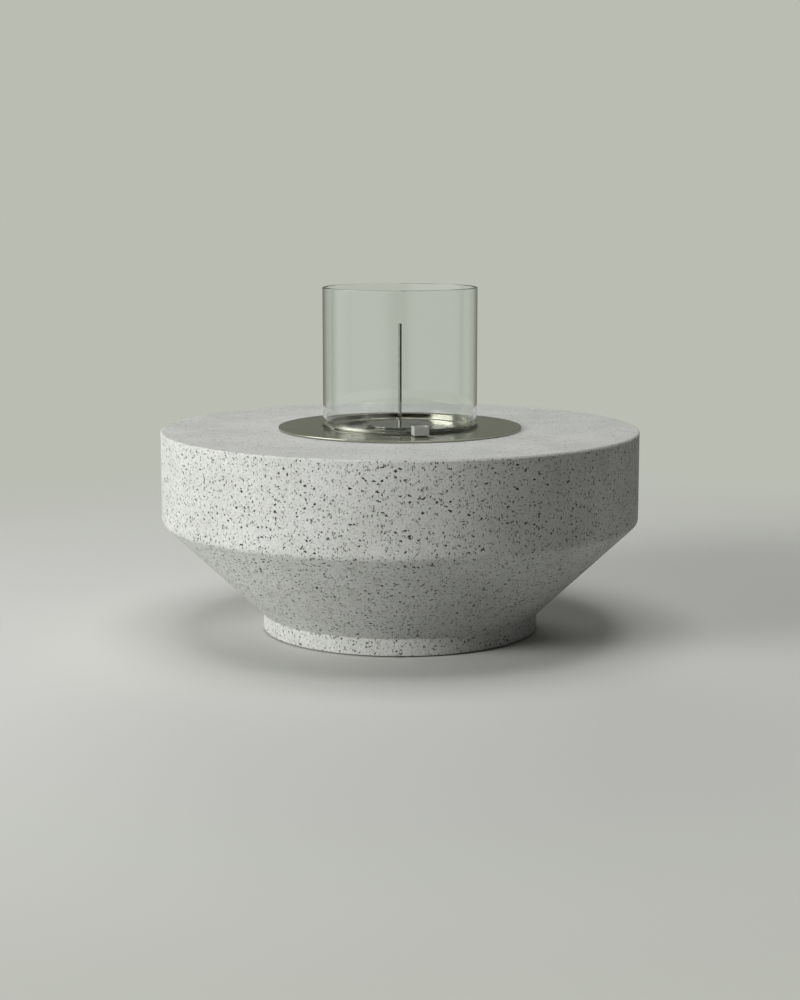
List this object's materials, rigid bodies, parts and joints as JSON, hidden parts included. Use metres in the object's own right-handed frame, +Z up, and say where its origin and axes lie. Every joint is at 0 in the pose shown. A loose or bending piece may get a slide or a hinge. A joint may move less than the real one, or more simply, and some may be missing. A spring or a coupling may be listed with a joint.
{
  "type": "fire pit table",
  "caption": "Round speckled concrete bowl table with a steel surround plate, a drop-in liquid fuel burner, a snuffer lid on a rod and a glass tube.",
  "frame": {"origin": "on the floor, on the axis of the bowl", "axes": "+Z up along the bowl's axis, -Y towards the front, where the regulator's grip is, +X to the right seen from the front"},
  "size_m": [0.8, 0.7999, 0.5762],
  "materials": {
    "terrazzo_concrete": "matte, fine dark specks",
    "black_rubber": "matte",
    "black_silicone": "matte",
    "brushed_stainless": "brushed",
    "satin_stainless": "satin",
    "plain_stainless": "mill finish",
    "polished_stainless": "polished",
    "blasted_stainless": "bead blasted",
    "zinc_steel": "zinc plated",
    "clear_glass": "clear",
    "clear_silicone": "translucent",
    "ceramic_board": "matte",
    "ceramic_blanket": "matte, fibrous",
    "ceramic_wool": "matte, fibrous"
  },
  "bodies": {
    "base": {"bowl": "terrazzo_concrete", "foot_pads": "black_rubber", "plate_gasket": "black_silicone", "surround_plate": "brushed_stainless", "shield_wall": "plain_stainless", "shield_base": "plain_stainless", "shield_flange": "plain_stainless", "insulation_board": "ceramic_board", "insulation_wrap": "ceramic_blanket", "wrap_bands": "plain_stainless", "clamp_studs": "zinc_steel", "shield_nuts": "zinc_steel", "clamp_bars": "zinc_steel", "clamp_washers": "zinc_steel", "wing_nuts": "zinc_steel"},
    "burner": {"burner_pan": "satin_stainless", "burner_lip": "brushed_stainless", "regulator_hub": "plain_stainless", "fuel_tank": "plain_stainless", "fibre_wool": "ceramic_wool", "wool_grille": "plain_stainless"},
    "regulator": {"regulator_plate": "satin_stainless", "regulator_grip": "blasted_stainless", "grip_screw": "zinc_steel"},
    "snuffer": {"snuffer_lid": "satin_stainless", "snuffer_rod": "polished_stainless", "rod_washer": "zinc_steel", "rod_nut": "zinc_steel"},
    "glass": {"glass_tube": "clear_glass", "glass_pads": "clear_silicone"}
  },
  "joints": [
    {"name": "burner_lift", "type": "slide", "parent": "base", "child": "burner", "axis": [0, 0, 1], "range_m": [0, 0.15]},
    {"name": "regulator_turn", "type": "hinge", "parent": "burner", "child": "regulator", "pos_m": [0, 0, 0.34325], "axis": [0, 0, 1], "range_deg": [-25.6, 0]},
    {"name": "snuffer_lift", "type": "slide", "parent": "burner", "child": "snuffer", "axis": [0, 0, 1], "range_m": [0, 0.3]},
    {"name": "glass_lift", "type": "slide", "parent": "burner", "child": "glass", "axis": [0, 0, 1], "range_m": [0, 0.3]}
  ]
}
